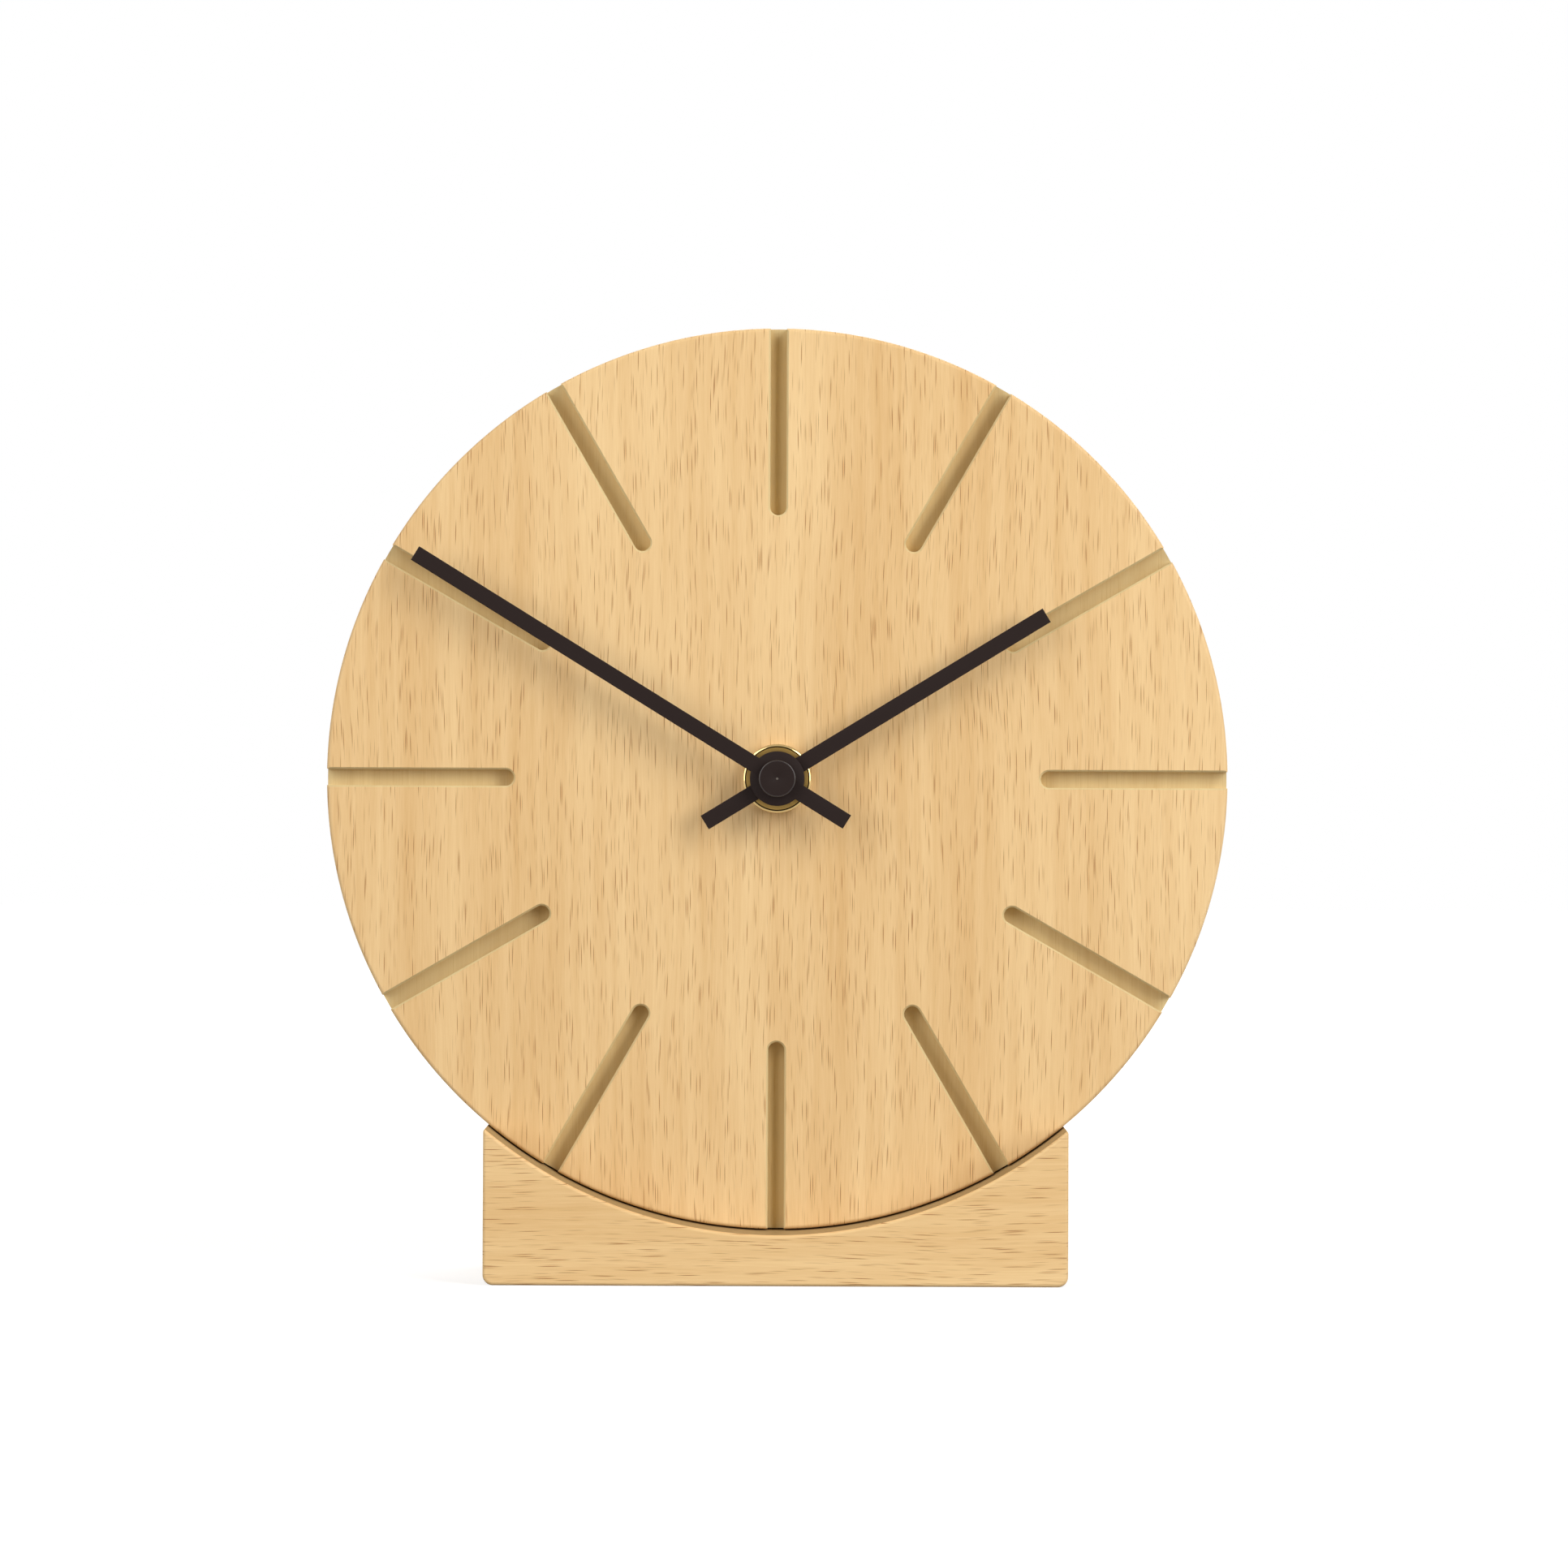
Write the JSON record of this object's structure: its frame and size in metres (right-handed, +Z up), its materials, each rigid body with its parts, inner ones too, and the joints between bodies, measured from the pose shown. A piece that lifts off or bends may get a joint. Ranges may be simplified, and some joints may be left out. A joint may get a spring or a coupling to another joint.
{
  "type": "wooden desk clock",
  "caption": "Round beech desk clock in a cradle base, with radial hour slots, brass centre nut, black bar hands and a battery quartz movement set from the back.",
  "frame": {"origin": "middle of the base's underside", "axes": "+Z up, the face looks along -Y, +X to the right seen from the front"},
  "size_m": [0.16, 0.045, 0.1693],
  "materials": {
    "beech_disc": "oiled beech, grain upright",
    "beech_base": "oiled beech, grain lying",
    "brass": "polished and satin",
    "black_hand": "black lacquer",
    "black_case": "moulded ABS",
    "white_plastic": "moulded",
    "wheel_plastic": "moulded acetal",
    "zinc_steel": "zinc plated",
    "tinned_steel": "nickel plated",
    "soft_iron": "bare sheet",
    "copper": "enamelled wire",
    "magnet": "sintered",
    "rubber": "matt",
    "board": "printed board",
    "resin": "poured",
    "cell_jacket": "plain jacket"
  },
  "bodies": {
    "clock": {"dial_disc": "beech_disc", "base_block": "beech_base", "base_screws": "zinc_steel", "center_nut": "brass", "threaded_bushing": "brass", "sealing_washer": "rubber", "movement_front_case": "black_case", "gear_bridge": "white_plastic", "movement_back_cover": "black_case", "circuit_board": "board", "clock_chip": "resin", "quartz_crystal": "tinned_steel", "coil_core": "soft_iron", "coil_bobbin": "white_plastic", "coil_winding": "copper", "stator": "soft_iron", "battery_contact_positive": "tinned_steel", "battery_contact_negative": "tinned_steel"},
    "battery": {"battery": "cell_jacket"},
    "minute_shaft": {"minute_arbor": "brass", "minute_hand": "black_hand", "hand_cap": "black_hand"},
    "hour_shaft": {"hour_wheel": "wheel_plastic", "hour_hand": "black_hand"},
    "motion_wheel": {"minute_wheel": "wheel_plastic"},
    "knob": {"setting_knob": "black_case"},
    "seconds_shaft": {"seconds_wheel": "wheel_plastic"},
    "third_shaft": {"third_wheel": "wheel_plastic"},
    "center_shaft": {"center_wheel": "wheel_plastic"},
    "intermediate_shaft": {"intermediate_wheel": "wheel_plastic"},
    "rotor": {"rotor_pinion": "wheel_plastic", "rotor_magnet": "magnet"}
  },
  "joints": [
    {"name": "minute_turn", "type": "hinge", "parent": "clock", "child": "minute_shaft", "pos_m": [0, 0, 0.0893], "axis": [0, 1, 0], "continuous": true},
    {"name": "hour_turn", "type": "hinge", "parent": "clock", "child": "hour_shaft", "pos_m": [0, 0, 0.0893], "axis": [0, 1, 0], "continuous": true},
    {"name": "motion_turn", "type": "hinge", "parent": "clock", "child": "motion_wheel", "pos_m": [0.011, 0, 0.0893], "axis": [0, 1, 0], "continuous": true},
    {"name": "knob_turn", "type": "hinge", "parent": "clock", "child": "knob", "pos_m": [0.0165, 0, 0.09883], "axis": [0, 1, 0], "continuous": true},
    {"name": "seconds_turn", "type": "hinge", "parent": "clock", "child": "seconds_shaft", "pos_m": [0, 0, 0.0893], "axis": [0, 1, 0], "continuous": true},
    {"name": "third_turn", "type": "hinge", "parent": "clock", "child": "third_shaft", "pos_m": [-0.00804, 0, 0.09605], "axis": [0, 1, 0], "continuous": true},
    {"name": "center_turn", "type": "hinge", "parent": "clock", "child": "center_shaft", "pos_m": [0, 0, 0.0893], "axis": [0, 1, 0], "continuous": true},
    {"name": "intermediate_turn", "type": "hinge", "parent": "clock", "child": "intermediate_shaft", "pos_m": [0.00182, 0, 0.09964], "axis": [0, 1, 0], "continuous": true},
    {"name": "rotor_turn", "type": "hinge", "parent": "clock", "child": "rotor", "pos_m": [0.00007, 0, 0.10957], "axis": [0, 1, 0], "continuous": true},
    {"name": "battery_slide", "type": "slide", "parent": "clock", "child": "battery", "axis": [0, 1, 0], "range_m": [0, 0.025]}
  ],
  "couplings": [
    {"joint": "hour_turn", "follows": "minute_turn", "ratio": 0.083333},
    {"joint": "motion_turn", "follows": "minute_turn", "ratio": -0.33333},
    {"joint": "knob_turn", "follows": "minute_turn", "ratio": 1},
    {"joint": "third_turn", "follows": "seconds_turn", "ratio": -0.13333},
    {"joint": "center_turn", "follows": "seconds_turn", "ratio": 0.016667},
    {"joint": "intermediate_turn", "follows": "seconds_turn", "ratio": -5},
    {"joint": "rotor_turn", "follows": "seconds_turn", "ratio": 30}
  ]
}
